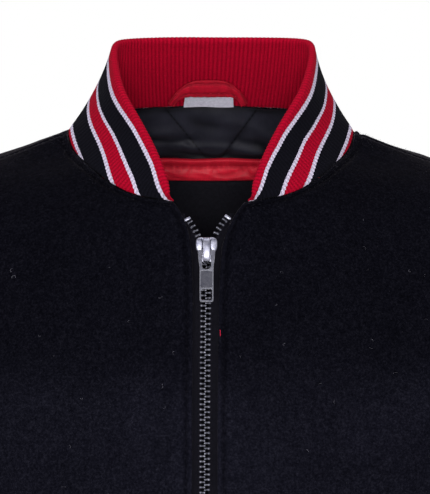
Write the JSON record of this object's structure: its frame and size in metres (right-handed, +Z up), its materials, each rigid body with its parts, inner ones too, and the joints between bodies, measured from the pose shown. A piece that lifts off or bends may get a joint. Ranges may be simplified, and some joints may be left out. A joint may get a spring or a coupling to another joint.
{
  "type": "varsity jacket",
  "caption": "Child's varsity jacket in black wool with a striped rib stand collar, rib cuffs and hem, and a metal zip with a hinged pull tab, filled out as worn.",
  "frame": {"origin": "between the two points where the shoulder seams meet the collar, at their height; there the wearer's neck and shoulders hold the jacket up", "axes": "+Z up, -Y is the jacket's front, +X is the wearer's left, which is the right of a front view"},
  "size_m": [0.5932, 0.181, 0.529],
  "materials": {
    "wool_melton": "napped, matt",
    "collar_rib": "striped rib knit, matt",
    "cuff_rib": "striped rib knit, matt",
    "hem_rib_knit": "striped rib knit, matt",
    "quilted_satin": "satin, soft sheen",
    "red_satin": "satin",
    "patch_cloth": "plain weave, matt",
    "label_cloth": "woven, matt",
    "zip_tape": "woven, matt",
    "antique_steel": "antique silver, satin",
    "tab_steel": "antique silver, satin"
  },
  "bodies": {
    "jacket": {"back": "wool_melton", "back_lining": "quilted_satin", "collar": "collar_rib", "cuff_left": "cuff_rib", "cuff_right": "cuff_rib", "front_left": "wool_melton", "front_right": "wool_melton", "hanger_loop": "red_satin", "hem_rib": "hem_rib_knit", "neck_patch": "patch_cloth", "patch_band": "red_satin", "size_label": "label_cloth", "sleeve_left": "wool_melton", "sleeve_right": "wool_melton", "teeth_left": "antique_steel", "teeth_right": "antique_steel", "top_stop_left": "antique_steel", "top_stop_right": "antique_steel", "zip_box": "antique_steel", "zip_chain": "antique_steel", "zip_slider": "antique_steel", "zip_tape_left": "zip_tape", "zip_tape_right": "zip_tape"},
    "tab": {"pull_tab": "tab_steel"}
  },
  "joints": [
    {"name": "tab_swing", "type": "hinge", "parent": "jacket", "child": "tab", "pos_m": [-0.00203, -0.08121, -0.05876], "axis": [-1, 0, 0], "range_deg": [0, 165]}
  ]
}
